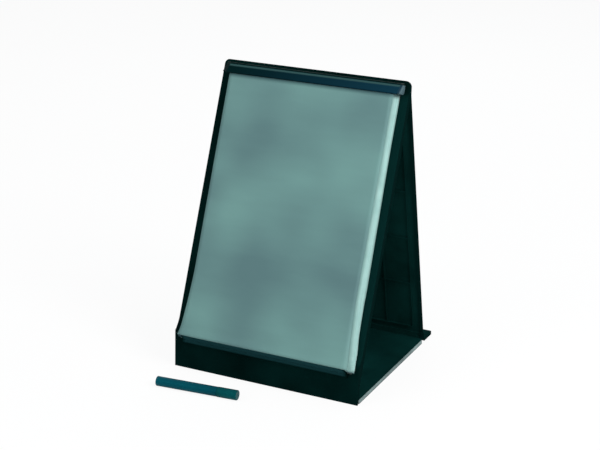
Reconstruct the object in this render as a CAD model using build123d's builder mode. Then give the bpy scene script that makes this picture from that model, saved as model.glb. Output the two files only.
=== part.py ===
from build123d import *
import os
from math import atan2, cos, degrees, hypot, radians, sin, tan

# Tabletop flipchart: a leaning moulded board that carries a clamped paper pad, a rear panel
# hinged at the apex, a base plate hinged at the front foot, and a felt marker that lies in front.
# Millimetres, +X to the right of the reader, +Y away from the reader, +Z up.
# The origin is the centre of the base plate's underside, on the table.

os.makedirs("parts", exist_ok=True)

# Overall sizes
overall_width = 330.0
board_length = 517.0        # from the table line to the top edge, along the board
board_lean = 23.0           # degrees back from upright
base_depth = 257.5

# Moulded walls
skin = 3.0
side_wall = 2.5
return_depth = 10.0
return_end_taper = 20.0
corner_radius = 8.0

# Front foot of the board
board_foot_ahead = 15.6     # the board's plane meets the table this far before the fascia
fascia_wall = 3.0
return_foot_depth = 8.0     # short enough for the base plate to fold up past it
foot_clearance = 0.6        # side returns over the base plate
sweep_start = 77.0          # where the pad's bed starts to curve forward, along the board
sweep_radius = 67.0
sweep_turn = 20.0
cheek_start = 91.3
cheek_radius = 60.0
cheek_turn = 26.8
cheek_width = 11.0
lip_length = 293.0
lip_radius = 3.2
lip_ahead = 3.4             # of the end of the pad's bed
lip_drop = 1.8
lip_root_drop = 6.6
ledge_margin = 0.2          # the ledge under the pad's lower edge ends this far below the top sheet's side
ledge_wall = 1.5

# Stiffening ribs behind the board
rib_thickness = 2.0
rib_depth = 5.0
rib_columns = 6
rib_rows = 5
rib_start = 115.0
rib_end_margin = 27.0

# Paper pad, under a loose top sheet
card_thickness = 1.0
pad_thickness = 13.8
sheet_gap = 0.3
sheet_thickness = 0.4
pad_half_width = 144.0      # front corners of the paper at the clamp
pad_low_half_width = 143.6
pad_foot_half_width = 149.5
pad_flare_start = 140.0
pad_edge_taper = 26.0       # degrees: the sheets' edges step outward towards the board
pad_head_margin = 25.0      # from the board's top to where the pad's head tapers
pad_head_length = 9.0
binding_thickness = 1.0
pad_side_clearance = 0.4

# Clamp bar
clamp_side_clearance = 0.27 # end caps beside the pad
clamp_pivot_margin = 8.5    # from the board's top edge
clamp_pivot_stand = 4.0     # pivot in front of the board
clamp_wall = 2.0
clamp_tip_margin = 23.0
clamp_tip_stand = 2.4       # tip in front of the pad
clamp_top_margin = 9.6
clamp_fall = 9.2            # from the tip back to the crest
clamp_nose_radius = 3.5
clamp_root_drop = 3.4
end_cap_thickness = 1.3
grip_strip_thickness = 1.0
grip_strip_width = 6.0
grip_strip_inset = 0.3
grip_half_length = 144.0
clamp_rod_radius = 0.9
clamp_lug_radius = 2.0
clamp_lug_width = 6.0
clamp_slot_tilt = 30.0      # degrees: keeps the open bar clear of the lugs
clamp_stations = (-125.0, -42.0, 42.0, 125.0)
spring_stations = (-84.0, 84.0)
spring_mean_radius = 1.5
spring_wire_radius = 0.35
spring_pitch = 0.9
spring_turns = 2.0
spring_leg = 1.1            # lifts the bar's nose from inside
spring_slot_width = 8.0

# Hinges
running_clearance = 0.05
axial_gap = 0.3
hinge_stations = (-110.0, 0.0, 110.0)
apex_margin = 9.0           # hinge line below the board's top edge
apex_setback = 8.5          # hinge line behind the board's face
apex_pin_radius = 1.5
apex_knuckle_radius = 3.5
knuckle_width = 12.0
lug_width = 5.0
pin_head_radius = 2.2
pin_head_thickness = 0.8
base_pin_setback = 6.5      # hinge line behind the fascia
base_pin_over_plate = 2.8
base_pin_radius = 1.2
base_knuckle_radius = 2.4

# Rear panel
rear_side_clearance = 0.5
rear_skin = 2.0
rear_rib_height = 2.0
rear_top_overrun = 3.0
rear_notch_depth = 4.6
rear_foot_gap = 11.1        # base plate's rear edge to the panel's middle, on the table
rear_flange_depth = 27.8
rear_flange_height = 8.5
rear_flange_wall = 3.0
rear_flange_ceiling = 5.8
rear_foot_lift = 0.8
rear_rib_columns = 5
rear_rib_rows = 5
foot_strip_width = 8.0

# Base plate
mat_thickness = 0.8
core_thickness = 6.4
deck_thickness = 0.8
base_corner_radius = 3.0
leaf_length = 34.0
leaf_depth = 20.0
leaf_thickness = 1.2
screw_radius = 1.3
screw_head_radius = 2.6
screw_head_height = 1.0
screw_length = 6.0
screw_spacing = 20.0
screw_row_depth = 12.0

# Felt marker
marker_length = 140.5
marker_cap_length = 34.0
marker_cap_radius = 8.2
marker_barrel_radius = 7.9
marker_wall = 1.2
marker_nose_length = 8.0
marker_left = 151.0
marker_ahead = 78.0         # left end of the marker in front of the fascia
marker_turn = 4.9           # degrees
cap_clearance = 0.2
nib_radius = 2.4
nib_length = 13.0
nib_point = 4.0
holder_length = 9.0
holder_radius = 4.2
plug_length = 7.0
reservoir_radius = 5.2

# Derived places
pad_front = card_thickness + pad_thickness
card_spread = tan(radians(pad_edge_taper)) * pad_thickness
ledge_reach = pad_front - ledge_margin
clamp_half_length = pad_half_width + card_spread + clamp_side_clearance + end_cap_thickness
clamp_tip_out = pad_front + clamp_tip_stand
clamp_top_out = clamp_tip_out - clamp_fall
base_thickness = mat_thickness + core_thickness + deck_thickness
sin_lean = sin(radians(board_lean))
cos_lean = cos(radians(board_lean))
base_pin_y = -base_depth / 2
base_pin_z = base_thickness + base_pin_over_plate
fascia_y = base_pin_y - base_pin_setback
board_foot_y = fascia_y - board_foot_ahead
half_width = overall_width / 2
bed_half_width = half_width - cheek_width
board_plane = Plane(
    origin=(0, board_foot_y, 0),
    x_dir=(1, 0, 0),
    z_dir=(0, -cos_lean, sin_lean),
)


def at(along, out):
    """Side view (y, z) of a point so far along the board and so far in front of its face."""
    y = board_foot_y + along * sin_lean - out * cos_lean
    return (y, along * cos_lean + out * sin_lean)


def swept(out, turn=sweep_turn, start=sweep_start, radius=sweep_radius):
    """Side view of a point on the forward curve of the foot, for a layer at this stand-off."""
    reach = radius - out
    angle = radians(turn)
    return at(start - reach * sin(angle), radius - reach * cos(angle))


def cheek(out, turn=cheek_turn):
    """Side view of a point on the curve of the cheeks beside the pad."""
    return swept(out, turn, cheek_start, cheek_radius)


def fascia_at(height, depth=0.0):
    """Side view of a point of the fascia, or behind it by the given depth."""
    top = cheek(0)
    return (fascia_y + depth + (top[0] - fascia_y) * height / top[1], height)


def layer_face(back, front, top_back, top_front):
    """Side outline of a layer on the board that follows the forward curve at the foot."""
    with BuildSketch(Plane.YZ) as outline:
        with BuildLine():
            Line(at(top_back, back), at(sweep_start, back))
            ThreePointArc(at(sweep_start, back), swept(back, sweep_turn / 2), swept(back))
            Line(swept(back), swept(front))
            ThreePointArc(swept(front), swept(front, sweep_turn / 2), at(sweep_start, front))
            Line(at(sweep_start, front), at(top_front, front))
            Line(at(top_front, front), at(top_back, back))
        make_face()
    return outline.sketch


def paper_face(spread, level):
    """Front outline of the paper, whose edges fan out at the curved foot, seen on the board."""
    foot = 30.0
    top = board_length + 10.0
    bend = (pad_flare_start + foot) / 2
    upper = pad_half_width + spread
    lower = pad_low_half_width + spread
    low = pad_foot_half_width + spread
    middle = lower + (low - lower) / 4
    with BuildSketch(board_plane.offset(level)) as outline:
        with BuildLine():
            Line((lower, pad_flare_start), (upper, top))
            Line((upper, top), (-upper, top))
            Line((-upper, top), (-lower, pad_flare_start))
            ThreePointArc((-lower, pad_flare_start), (-middle, bend), (-low, foot))
            Line((-low, foot), (low, foot))
            ThreePointArc((low, foot), (middle, bend), (lower, pad_flare_start))
        make_face()
    return outline.sketch


def bed_hollow(curve, start):
    """Side outline of the hollow behind the fascia and under a skin that follows the curve."""
    deep = -return_depth * 4
    with BuildSketch(Plane.YZ) as outline:
        with BuildLine():
            Polyline(
                (curve(-skin)[0], -skin),
                curve(-skin),
            )
            ThreePointArc(curve(-skin), curve(-skin, sweep_turn / 2), at(start, -skin))
            Polyline(
                at(start, -skin),
                at(board_length * 1.1, -skin),
                at(board_length * 1.1, deep),
                (at(0, deep)[0], -skin),
                (curve(-skin)[0], -skin),
            )
        make_face()
        with BuildLine():
            Polyline(
                fascia_at(-skin, fascia_wall),
                fascia_at(board_length, fascia_wall),
                (board_length, board_length),
                (board_length, -skin),
                close=True,
            )
        make_face(mode=Mode.INTERSECT)
    return outline.sketch


# Hinge lines
apex_along = board_length - apex_margin
apex_y, apex_z = at(apex_along, -apex_setback)
clamp_along = board_length - clamp_pivot_margin
clamp_y, clamp_z = at(clamp_along, clamp_pivot_stand)

# Rear panel's lean follows from the apex and from where its foot stands
rear_foot_y = base_depth / 2 + rear_foot_gap
rear_lean = degrees(atan2(rear_foot_y - apex_y, apex_z))
sin_rear = sin(radians(rear_lean))
cos_rear = cos(radians(rear_lean))
rear_length = hypot(rear_foot_y - apex_y, apex_z)
rear_half_width = half_width - side_wall - rear_side_clearance
rear_plane = Plane(
    origin=(0, apex_y, apex_z),
    x_dir=(1, 0, 0),
    z_dir=(0, cos_rear, sin_rear),
)


# Front shell: board, side returns, curved foot, cheeks, fascia and its lugs in one moulding
return_foot = (fascia_y + return_foot_depth, base_thickness + foot_clearance)
return_rise = (return_foot[0] - at(0, -return_depth)[0]) / sin_lean
with BuildPart() as front_shell:
    with BuildSketch(Plane.YZ):
        with BuildLine():
            Line((fascia_y, 0), cheek(0))
            ThreePointArc(cheek(0), cheek(0, cheek_turn / 2), at(cheek_start, 0))
            Polyline(
                at(cheek_start, 0),
                at(board_length, 0),
                at(board_length, -skin),
                at(board_length - return_end_taper, -return_depth),
                at(return_rise, -return_depth),
                return_foot,
                fascia_at(return_foot[1], fascia_wall),
                fascia_at(0, fascia_wall),
                (fascia_y, 0),
            )
        make_face()
    extrude(amount=half_width, both=True)

    # Rounded top corners
    with BuildSketch(board_plane):
        RectangleRounded(overall_width, 2 * board_length, corner_radius)
    extrude(amount=2 * sweep_radius, both=True, mode=Mode.INTERSECT)

    # Bed for the pad between the cheeks
    with BuildSketch(Plane.YZ):
        with BuildLine():
            Line(at(pad_flare_start, 0), at(sweep_start, 0))
            ThreePointArc(at(sweep_start, 0), swept(0, sweep_turn / 2), swept(0))
            Polyline(
                swept(0),
                swept(sweep_radius / 2),
                at(pad_flare_start, sweep_radius / 2),
                at(pad_flare_start, 0),
            )
        make_face()
    extrude(amount=bed_half_width, both=True, mode=Mode.SUBTRACT)

    # Hollow back, under the bed and inside each cheek
    extrude(
        bed_hollow(swept, sweep_start),
        amount=half_width - side_wall,
        both=True,
        mode=Mode.SUBTRACT,
    )
    cheek_core = bed_hollow(cheek, cheek_start)
    for side in (-1, 1):
        core_start = Location((side * (bed_half_width + side_wall), 0, 0))
        extrude(
            cheek_core.moved(core_start),
            amount=side * (cheek_width - 2 * side_wall),
            mode=Mode.SUBTRACT,
        )

    # Lip under the pad's foot
    lip_y = swept(0)[0] - lip_ahead
    lip_height = swept(0)[1] - lip_drop
    lip_root_height = lip_height - lip_root_drop
    with BuildSketch(Plane.YZ):
        with Locations((lip_y, lip_height)):
            Circle(lip_radius)
        with BuildLine():
            Polyline(
                (lip_y, lip_height + lip_radius),
                swept(0),
                fascia_at(lip_height, fascia_wall / 2),
                fascia_at(lip_root_height, fascia_wall / 2),
                fascia_at(lip_root_height),
                (lip_y - lip_radius * 0.6, lip_height - lip_radius * 0.8),
                close=True,
            )
        make_face()
        ledge_turn = sweep_turn + degrees(ledge_wall / sweep_radius)
        with BuildLine():
            Polyline(
                swept(0),
                swept(ledge_reach),
                swept(ledge_reach, ledge_turn),
                (lip_y, lip_height),
                close=True,
            )
        make_face()
    extrude(amount=lip_length / 2, both=True)

    # Ribs behind the board
    rib_top = board_length - rib_end_margin
    rib_span = rib_top - rib_start
    rib_pitch = overall_width / rib_columns
    row_pitch = rib_span / rib_rows
    with BuildSketch(board_plane.offset(-skin)):
        with Locations((0, rib_start + rib_span / 2)):
            with GridLocations(rib_pitch, 1, rib_columns, 1):
                Rectangle(rib_thickness, rib_span)
            with GridLocations(1, row_pitch, 1, rib_rows + 1):
                Rectangle(overall_width - 2 * side_wall, rib_thickness)
    extrude(amount=-rib_depth)

    # Lugs of the apex hinge
    lug_middle = knuckle_width / 2 + axial_gap + lug_width / 2
    for station in hinge_stations:
        for side in (-1, 1):
            with BuildSketch(Plane.YZ.offset(station + side * lug_middle)):
                with Locations((apex_y, apex_z)):
                    Circle(apex_knuckle_radius)
                with BuildLine():
                    Polyline(
                        at(apex_along - apex_knuckle_radius, -apex_setback),
                        at(apex_along + apex_knuckle_radius, -apex_setback),
                        at(apex_along + apex_knuckle_radius, -skin),
                        at(apex_along - apex_knuckle_radius, -skin),
                        close=True,
                    )
                make_face()
            extrude(amount=lug_width / 2, both=True)
    with BuildSketch(Plane.YZ):
        with Locations((apex_y, apex_z)):
            Circle(apex_pin_radius + running_clearance)
    extrude(amount=bed_half_width - cheek_width, both=True, mode=Mode.SUBTRACT)

    # Lugs of the base hinge, on the back of the fascia
    for station in hinge_stations:
        for side in (-1, 1):
            with BuildSketch(Plane.YZ.offset(station + side * lug_middle)):
                with Locations((base_pin_y, base_pin_z)):
                    Circle(base_knuckle_radius)
                with BuildLine():
                    Polyline(
                        (base_pin_y, base_pin_z + base_knuckle_radius),
                        fascia_at(base_pin_z + base_knuckle_radius, fascia_wall / 2),
                        fascia_at(base_pin_z - base_knuckle_radius, fascia_wall / 2),
                        (base_pin_y, base_pin_z - base_knuckle_radius),
                        close=True,
                    )
                make_face()
            extrude(amount=lug_width / 2, both=True)
    with BuildSketch(Plane.YZ):
        with Locations((base_pin_y, base_pin_z)):
            Circle(base_pin_radius + running_clearance)
    extrude(amount=bed_half_width - cheek_width, both=True, mode=Mode.SUBTRACT)

    # Lugs of the clamp bar, on the face above the pad
    for station in clamp_stations:
        with BuildSketch(Plane.YZ.offset(station)):
            with Locations((clamp_y, clamp_z)):
                Circle(clamp_lug_radius)
            with BuildLine():
                Polyline(
                    at(clamp_along - clamp_lug_radius, clamp_pivot_stand),
                    at(clamp_along + clamp_lug_radius, clamp_pivot_stand),
                    at(clamp_along + clamp_lug_radius, -skin / 2),
                    at(clamp_along - clamp_lug_radius, -skin / 2),
                    close=True,
                )
            make_face()
        extrude(amount=clamp_lug_width / 2, both=True)
    with BuildSketch(Plane.YZ):
        with Locations((clamp_y, clamp_z)):
            Circle(clamp_rod_radius)
    extrude(amount=clamp_half_length, both=True, mode=Mode.SUBTRACT)
front_shell.part.label = "front_shell"
export_step(front_shell.part, "parts/front_shell.step")


def hinge_pins(label, pin_y, pin_z, radius):
    """Headed pins through a row of lugs and knuckles."""
    reach = knuckle_width / 2 + axial_gap + lug_width
    with BuildPart() as pins:
        for station in hinge_stations:
            with BuildSketch(Plane.YZ.offset(station)):
                with Locations((pin_y, pin_z)):
                    Circle(radius)
            extrude(amount=reach, both=True)
            with BuildSketch(Plane.YZ.offset(station + reach)):
                with Locations((pin_y, pin_z)):
                    Circle(min(pin_head_radius, radius + pin_head_thickness))
            extrude(amount=pin_head_thickness)
    pins.part.label = label
    export_step(pins.part, "parts/" + label + ".step")


hinge_pins("apex_hinge_pins", apex_y, apex_z, apex_pin_radius)
hinge_pins("base_hinge_pins", base_pin_y, base_pin_z, base_pin_radius)


# Pad backing card
pad_top = board_length - pad_head_margin + pad_head_length
with BuildPart() as pad_backing_card:
    extrude(layer_face(0, card_thickness, pad_top, pad_top), amount=half_width, both=True)
    extrude(paper_face(card_spread, 0), amount=sweep_radius, mode=Mode.INTERSECT)
    with BuildSketch(Plane.YZ):
        Rectangle(4 * board_length, 4 * board_length)
    extrude(amount=bed_half_width - pad_side_clearance, both=True, mode=Mode.INTERSECT)
pad_backing_card.part.label = "pad_backing_card"
export_step(pad_backing_card.part, "parts/pad_backing_card.step")


# Pad block, tapered at its head under the clamp and stepped outward down its edges
clamp_slope = clamp_fall / (clamp_tip_margin - clamp_top_margin)
head_drop = pad_head_length * clamp_slope
pad_head = board_length - pad_head_margin
with BuildPart() as pad_block:
    extrude(
        layer_face(card_thickness, pad_front, pad_top, pad_head),
        amount=half_width,
        both=True,
    )
    with BuildSketch(Plane.YZ):
        with BuildLine():
            Polyline(
                at(pad_head, card_thickness),
                at(pad_top, card_thickness),
                at(pad_top, pad_front - head_drop),
                at(pad_head, pad_front),
                close=True,
            )
        make_face()
    extrude(amount=half_width, both=True)
    extrude(
        paper_face(card_spread, card_thickness),
        amount=sweep_radius / 2,
        taper=pad_edge_taper,
        mode=Mode.INTERSECT,
    )
    with BuildSketch(Plane.YZ):
        Rectangle(4 * board_length, 4 * board_length)
    extrude(amount=bed_half_width - pad_side_clearance, both=True, mode=Mode.INTERSECT)
pad_block.part.label = "pad_block"
export_step(pad_block.part, "parts/pad_block.step")


# Tape binding over the pad's head
with BuildPart() as pad_head_binding:
    with BuildSketch(Plane.YZ):
        with BuildLine():
            Polyline(
                at(pad_top, 0),
                at(pad_top + binding_thickness, 0),
                at(pad_top + binding_thickness, pad_front - head_drop),
                at(pad_top, pad_front - head_drop),
                close=True,
            )
        make_face()
    extrude(amount=pad_half_width, both=True)
pad_head_binding.part.label = "pad_head_binding"
export_step(pad_head_binding.part, "parts/pad_head_binding.step")


# Loose top sheet, turned over about its upper edge
sheet_back = pad_front + sheet_gap
sheet_front = sheet_back + sheet_thickness
with BuildPart() as top_sheet:
    extrude(layer_face(sheet_back, sheet_front, pad_head, pad_head), amount=half_width, both=True)
    extrude(paper_face(0, 0), amount=sweep_radius, mode=Mode.INTERSECT)
top_sheet.part.label = "top_sheet"
export_step(top_sheet.part, "parts/top_sheet.step")


# Clamp bar: a sloping front wall with a solid nose round its pivot
tip = (board_length - clamp_tip_margin, clamp_tip_out)
crest = (board_length - clamp_top_margin, clamp_top_out)
front_run = hypot(crest[0] - tip[0], crest[1] - tip[1])
along_front = ((crest[0] - tip[0]) / front_run, (crest[1] - tip[1]) / front_run)
inward = (along_front[1], -along_front[0])
nose_side = (clamp_along + clamp_nose_radius, clamp_pivot_stand)
nose_turn = radians(30)
nose_middle = (
    clamp_along + clamp_nose_radius * cos(nose_turn),
    clamp_pivot_stand + clamp_nose_radius * sin(nose_turn),
)
nose_under = (
    clamp_along + clamp_nose_radius * cos(nose_turn),
    clamp_pivot_stand - clamp_nose_radius * sin(nose_turn) / 2,
)
nose_root = (clamp_along, clamp_pivot_stand - clamp_root_drop)
nose_back = (clamp_along - clamp_nose_radius, clamp_pivot_stand)


def under_front(along, depth):
    """Board coordinates of a point on the clamp's sloping wall, at a depth behind its face."""
    return (
        tip[0] + along * along_front[0] + depth * inward[0],
        tip[1] + along * along_front[1] + depth * inward[1],
    )


inner_end = under_front(front_run - 2 * clamp_wall, clamp_wall)
with BuildPart() as clamp_bar:
    with BuildSketch(Plane.YZ):
        with BuildLine():
            Line(at(*tip), at(*crest))
            ThreePointArc(at(*crest), at(*nose_middle), at(*nose_side))
            Polyline(
                at(*nose_side),
                at(*nose_under),
                at(*nose_root),
                at(*nose_back),
                at(*inner_end),
                at(*under_front(0, clamp_wall)),
                at(*tip),
            )
        make_face()
    extrude(amount=clamp_half_length - end_cap_thickness, both=True)

    # Slots for the shell's lugs and for the springs
    lug_slot = clamp_lug_width + 2 * axial_gap
    slots = [(station, lug_slot) for station in clamp_stations]
    slots += [(station, spring_slot_width) for station in spring_stations]
    slot_reach = clamp_nose_radius * 1.5
    slot_angle = radians(clamp_slot_tilt)
    for station, width in slots:
        with BuildSketch(Plane.YZ.offset(station)):
            with Locations((clamp_y, clamp_z)):
                Circle(clamp_lug_radius + axial_gap)
            with BuildLine():
                Polyline(
                    at(clamp_along - slot_reach, clamp_pivot_stand),
                    at(clamp_along, clamp_pivot_stand),
                    at(
                        clamp_along + slot_reach * cos(slot_angle),
                        clamp_pivot_stand + slot_reach * sin(slot_angle),
                    ),
                    at(clamp_along + slot_reach, -skin),
                    at(clamp_along - slot_reach, -skin),
                    close=True,
                )
            make_face()
        extrude(amount=width / 2, both=True, mode=Mode.SUBTRACT)
    with BuildSketch(Plane.YZ):
        with Locations((clamp_y, clamp_z)):
            Circle(clamp_rod_radius + running_clearance)
    extrude(amount=clamp_half_length, both=True, mode=Mode.SUBTRACT)
clamp_bar.part.label = "clamp_bar"
export_step(clamp_bar.part, "parts/clamp_bar.step")


# Rod that the clamp bar turns on
with BuildPart() as clamp_pivot_rod:
    with BuildSketch(Plane.YZ):
        with Locations((clamp_y, clamp_z)):
            Circle(clamp_rod_radius)
    extrude(amount=clamp_half_length - end_cap_thickness - axial_gap, both=True)
clamp_pivot_rod.part.label = "clamp_pivot_rod"
export_step(clamp_pivot_rod.part, "parts/clamp_pivot_rod.step")


# Torsion springs on the rod: one leg stands on the board, the other lifts the bar's nose
spring_length = spring_turns * spring_pitch
spring_coils = []
for station in spring_stations:
    coil_plane = Plane(
        origin=(station - spring_length / 2, clamp_y, clamp_z),
        x_dir=(0, sin_lean, cos_lean),
        z_dir=(1, 0, 0),
    )
    spring_coils.append(coil_plane * Helix(spring_pitch, spring_length, spring_mean_radius))
with BuildPart() as clamp_springs:
    standing_leg = -(clamp_pivot_stand + running_clearance)
    for coil in spring_coils:
        with BuildSketch(Plane(origin=coil @ 0, z_dir=coil % 0)):
            RegularPolygon(spring_wire_radius, 6)
        sweep(path=coil, is_frenet=True)
        for end, reach in ((coil @ 0, standing_leg), (coil @ 1, spring_leg)):
            root = end - board_plane.z_dir * (running_clearance if reach > 0 else -running_clearance)
            with BuildSketch(Plane(origin=root, z_dir=board_plane.z_dir)):
                Circle(spring_wire_radius - running_clearance / 2)
            extrude(amount=reach)
clamp_springs.part.label = "clamp_springs"
export_step(clamp_springs.part, "parts/clamp_springs.step")


# Rubber grip strip inside the clamp's tip
with BuildPart() as clamp_grip_strip:
    with BuildSketch(Plane.YZ):
        strip_end = grip_strip_inset + grip_strip_width
        strip_back = clamp_wall + grip_strip_thickness
        with BuildLine():
            Polyline(
                at(*under_front(grip_strip_inset, clamp_wall)),
                at(*under_front(strip_end, clamp_wall)),
                at(*under_front(strip_end, strip_back)),
                at(*under_front(grip_strip_inset, strip_back)),
                close=True,
            )
        make_face()
    extrude(amount=grip_half_length, both=True)
clamp_grip_strip.part.label = "clamp_grip_strip"
export_step(clamp_grip_strip.part, "parts/clamp_grip_strip.step")


# End caps that close the clamp bar
with BuildPart() as clamp_end_caps:
    for side in (-1, 1):
        with BuildSketch(Plane.YZ.offset(side * clamp_half_length)):
            with BuildLine():
                Line(at(*tip), at(*crest))
                ThreePointArc(at(*crest), at(*nose_middle), at(*nose_side))
                Polyline(
                    at(*nose_side),
                    at(*nose_under),
                    at(*nose_root),
                    at(tip[0] + clamp_nose_radius, clamp_pivot_stand - clamp_root_drop),
                    at(tip[0], clamp_pivot_stand),
                    at(*tip),
                )
            make_face()
        extrude(amount=-side * end_cap_thickness)
clamp_end_caps.part.label = "clamp_end_caps"
export_step(clamp_end_caps.part, "parts/clamp_end_caps.step")


# Rear shell: thin ribbed panel with knuckles at the apex and a hollow flange at its foot
panel_end = rear_length - rear_flange_height / cos_rear
panel_span = panel_end + rear_top_overrun
panel_middle = panel_end - panel_span / 2
flange_tip_y = rear_foot_y + rear_flange_depth
half_panel = rear_skin / cos_rear


def rear_at(height, out=0.0):
    """Side view of a point of the rear panel at a height, or outward of its middle."""
    return (rear_foot_y + out - height * tan(radians(rear_lean)), height)


with BuildPart() as rear_shell:
    with BuildSketch(rear_plane):
        with Locations((0, panel_middle + board_length / 2)):
            RectangleRounded(
                2 * rear_half_width,
                panel_span + board_length,
                corner_radius,
            )
        with Locations((0, panel_end + board_length / 2)):
            Rectangle(overall_width, board_length, mode=Mode.SUBTRACT)
    extrude(amount=rear_skin)

    # Ribs and border on the inside
    border = 2 * corner_radius
    inner_span = panel_span - 2 * border
    with BuildSketch(rear_plane):
        with Locations((0, panel_middle)):
            Rectangle(2 * (rear_half_width - border), inner_span)
            Rectangle(
                2 * (rear_half_width - border - rib_thickness),
                inner_span - 2 * rib_thickness,
                mode=Mode.SUBTRACT,
            )
            with GridLocations(2 * rear_half_width / rear_rib_columns, 1, rear_rib_columns - 1, 1):
                Rectangle(rib_thickness, inner_span)
            with GridLocations(1, inner_span / rear_rib_rows, 1, rear_rib_rows - 1):
                Rectangle(2 * (rear_half_width - border), rib_thickness)
    extrude(amount=-rear_rib_height)

    # Flange that stands on the table
    flange_round = rear_flange_height / 4
    with BuildSketch(Plane.YZ):
        with BuildLine():
            Polyline(
                rear_at(rear_foot_lift, -half_panel),
                (flange_tip_y, rear_foot_lift),
                (flange_tip_y, rear_flange_height - flange_round),
                (flange_tip_y - flange_round, rear_flange_height),
                rear_at(rear_flange_height + flange_round, 3 * half_panel),
                rear_at(rear_flange_height + 3 * flange_round, half_panel),
                rear_at(rear_flange_height + 3 * flange_round, -half_panel),
                close=True,
            )
        make_face()
    extrude(amount=half_width, both=True)
    cavity_front = rear_at(0, -half_panel)[0] + rear_flange_wall
    cavity_back = flange_tip_y - rear_flange_wall
    with BuildSketch(Plane.XY):
        with Locations((0, (cavity_front + cavity_back) / 2)):
            Rectangle(2 * (half_width - rear_flange_wall), cavity_back - cavity_front)
    extrude(amount=rear_flange_ceiling, mode=Mode.SUBTRACT)

    # Notches for the front lugs, then the knuckles between them
    with BuildSketch(rear_plane):
        for station in hinge_stations:
            with Locations((station, (rear_notch_depth - rear_top_overrun) / 2)):
                Rectangle(
                    knuckle_width + 2 * (lug_width + 2 * axial_gap) + 2 * pin_head_thickness,
                    rear_notch_depth + rear_top_overrun + axial_gap,
                )
    extrude(amount=2 * rear_skin, both=True, mode=Mode.SUBTRACT)
    for station in hinge_stations:
        with BuildSketch(Plane.YZ.offset(station)):
            with Locations((apex_y, apex_z)):
                Circle(apex_knuckle_radius)
        extrude(amount=knuckle_width / 2, both=True)
        with BuildSketch(rear_plane):
            with Locations((station, rear_notch_depth)):
                Rectangle(knuckle_width, 2 * rear_notch_depth)
        extrude(amount=rear_skin)
    with BuildSketch(Plane.YZ):
        with Locations((apex_y, apex_z)):
            Circle(apex_pin_radius + running_clearance)
    extrude(amount=bed_half_width - cheek_width, both=True, mode=Mode.SUBTRACT)
rear_shell.part.label = "rear_shell"
export_step(rear_shell.part, "parts/rear_shell.step")


# Rubber strips under the rear flange
with BuildPart() as rear_foot_strips:
    with BuildSketch(Plane.XY):
        for strip_y in (cavity_front + foot_strip_width / 2, cavity_back - foot_strip_width / 2):
            with Locations((0, strip_y)):
                Rectangle(2 * (half_width - rear_flange_wall), foot_strip_width)
    extrude(amount=rear_flange_ceiling)
rear_foot_strips.part.label = "rear_foot_strips"
export_step(rear_foot_strips.part, "parts/rear_foot_strips.step")


def base_layer(label, bottom, thickness, holes):
    """One layer of the base plate, drilled for the hinge screws where they pass."""
    with BuildPart() as layer:
        with BuildSketch(Plane.XY.offset(bottom)):
            Rectangle(overall_width, base_depth)
        extrude(amount=thickness)
        back_corners = layer.edges().filter_by(Axis.Z).group_by(Axis.Y)[-1]
        fillet(back_corners, base_corner_radius)
        if holes:
            with BuildSketch(Plane.XY.offset(base_thickness - screw_length + leaf_thickness)):
                for station in hinge_stations:
                    with Locations((station, base_pin_y + screw_row_depth)):
                        with GridLocations(screw_spacing, 1, 2, 1):
                            Circle(screw_radius)
            extrude(amount=screw_length, mode=Mode.SUBTRACT)
    layer.part.label = label
    export_step(layer.part, "parts/" + label + ".step")


# Base plate: soft mat below, pale core, dark deck on top
core_bottom = mat_thickness
deck_bottom = mat_thickness + core_thickness
base_layer("base_mat", 0, mat_thickness, False)
base_layer("base_core", core_bottom, core_thickness, True)
base_layer("base_deck", deck_bottom, deck_thickness, True)


# Hinge leaves on the front edge of the deck
with BuildPart() as base_hinge_leaves:
    for station in hinge_stations:
        with BuildSketch(Plane.XY.offset(base_thickness)):
            with Locations((station, base_pin_y + leaf_depth / 2 + base_knuckle_radius * 1.5)):
                Rectangle(leaf_length, leaf_depth - base_knuckle_radius * 1.5)
            with Locations((station, base_pin_y + leaf_depth / 4)):
                Rectangle(knuckle_width, leaf_depth / 2)
        extrude(amount=leaf_thickness)
        with BuildSketch(Plane.YZ.offset(station)):
            with Locations((base_pin_y, base_pin_z)):
                Circle(base_knuckle_radius)
            with BuildLine():
                Polyline(
                    (base_pin_y, base_pin_z),
                    (base_pin_y + base_knuckle_radius, base_pin_z),
                    (base_pin_y + 2 * base_knuckle_radius, base_thickness + leaf_thickness),
                    (base_pin_y + 2 * base_knuckle_radius, base_thickness),
                    (base_pin_y, base_thickness + base_pin_over_plate - base_knuckle_radius),
                    close=True,
                )
            make_face()
        extrude(amount=knuckle_width / 2, both=True)
    with BuildSketch(Plane.XY.offset(base_thickness)):
        for station in hinge_stations:
            with Locations((station, base_pin_y + screw_row_depth)):
                with GridLocations(screw_spacing, 1, 2, 1):
                    Circle(screw_radius)
    extrude(amount=leaf_thickness, mode=Mode.SUBTRACT)
    with BuildSketch(Plane.YZ):
        with Locations((base_pin_y, base_pin_z)):
            Circle(base_pin_radius + running_clearance)
    extrude(amount=half_width, both=True, mode=Mode.SUBTRACT)
base_hinge_leaves.part.label = "base_hinge_leaves"
export_step(base_hinge_leaves.part, "parts/base_hinge_leaves.step")


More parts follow.
